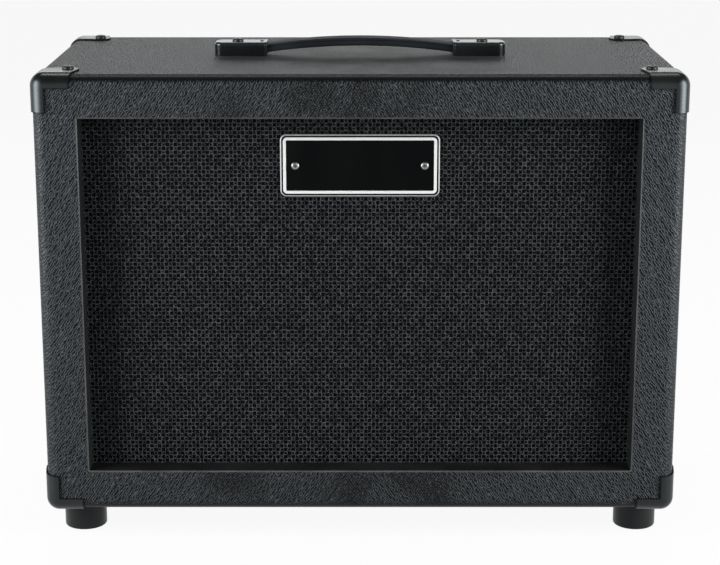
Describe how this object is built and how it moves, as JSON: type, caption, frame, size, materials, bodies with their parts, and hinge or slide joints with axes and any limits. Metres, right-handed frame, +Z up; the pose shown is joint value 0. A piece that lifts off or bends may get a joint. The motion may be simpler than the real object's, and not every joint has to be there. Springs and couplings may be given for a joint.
{
  "type": "guitar speaker cabinet",
  "caption": "Guitar speaker cabinet: vinyl-covered plywood box with corner protectors, strap handle and rubber feet; a driver behind a woven grille, and a jack on the back.",
  "frame": {"origin": "on the floor under the middle of the box, in the plane of the undersides of the feet", "axes": "+Z up; the grille faces -Y; +X to the right seen from the front"},
  "size_m": [0.5584, 0.2722, 0.429],
  "materials": {
    "black_vinyl": "satin, fine leather-like grain",
    "plywood": "matte",
    "pine_batten": "matte",
    "grille_weave": "matte basket weave",
    "badge_black": "satin black",
    "badge_silver": "satin",
    "black_moulding": "satin",
    "handle_moulding": "satin",
    "foot_rubber": "satin",
    "black_screw": "satin",
    "bright_screw": "polished",
    "zinc_screw": "satin",
    "spring_steel": "satin",
    "plate_black": "matte",
    "jack_nickel": "polished",
    "insulator": "matte",
    "basket_steel": "satin",
    "paper_cone": "matte",
    "felt_gasket": "matte",
    "treated_cloth": "matte",
    "coil_copper": "satin",
    "ferrite": "matte",
    "tinned": "satin",
    "wire_black": "satin"
  },
  "bodies": {
    "cabinet": {"top_panel": "plywood", "bottom_panel": "plywood", "left_side_panel": "plywood", "right_side_panel": "plywood", "shell_covering": "black_vinyl", "front_rails": "pine_batten", "front_stiles": "pine_batten", "rear_cleats": "pine_batten", "badge_plate": "badge_black", "badge_border": "badge_silver", "badge_screws": "black_screw", "baffle_board": "plywood", "grille_cloth": "grille_weave", "baffle_screws": "zinc_screw", "corner_screws": "black_screw", "rubber_feet": "foot_rubber", "foot_screws": "zinc_screw", "handle_spring_band": "spring_steel", "handle_cap_left": "black_moulding", "handle_cap_right": "black_moulding", "handle_bolts": "black_screw", "handle_nuts": "zinc_screw", "back_panel": "plywood", "back_covering": "black_vinyl", "back_screws": "black_screw", "jack_plate": "plate_black", "jack_plate_screws": "black_screw", "jack_frame": "jack_nickel", "jack_insulators": "insulator", "jack_tip_lug": "tinned", "jack_washer": "jack_nickel", "jack_nut": "jack_nickel", "driver_basket": "basket_steel", "driver_gasket": "felt_gasket", "driver_surround": "treated_cloth", "driver_spider": "treated_cloth", "driver_top_plate": "spring_steel", "driver_magnet": "ferrite", "driver_yoke": "spring_steel", "driver_bolts": "black_screw", "driver_nuts": "zinc_screw", "terminal_strip": "insulator", "terminal_tabs": "tinned", "push_on_connectors": "wire_black", "speaker_wires": "wire_black", "tinsel_leads": "tinned", "corner_top_front_left": "black_moulding", "corner_top_front_right": "black_moulding", "corner_top_rear_left": "black_moulding", "corner_top_rear_right": "black_moulding", "corner_bottom_front_left": "black_moulding", "corner_bottom_front_right": "black_moulding", "corner_bottom_rear_left": "black_moulding", "corner_bottom_rear_right": "black_moulding"},
    "cone_assembly": {"driver_cone": "paper_cone", "driver_dust_cap": "paper_cone", "driver_voice_coil": "coil_copper"},
    "handle_strap": {"handle_grip": "handle_moulding"},
    "jack_contact": {"jack_tip_spring": "jack_nickel"}
  },
  "joints": [
    {"name": "cone_travel", "type": "slide", "parent": "cabinet", "child": "cone_assembly", "axis": [0, -1, 0], "range_m": [-0.003, 0.003], "stiffness_N_per_m": 4000, "deforming": ["driver_surround", "driver_spider", "tinsel_leads"]},
    {"name": "handle_lift", "type": "slide", "parent": "cabinet", "child": "handle_strap", "axis": [0, 0, 1], "range_m": [0, 0.015], "stiffness_N_per_m": 500, "deforming": ["handle_spring_band"]},
    {"name": "jack_tip_flex", "type": "hinge", "parent": "cabinet", "child": "jack_contact", "pos_m": [0.00625, 0.1069, 0.128], "axis": [0, 0, 1], "range_deg": [0, 5], "stiffness_Nm_per_rad": 0.05}
  ]
}
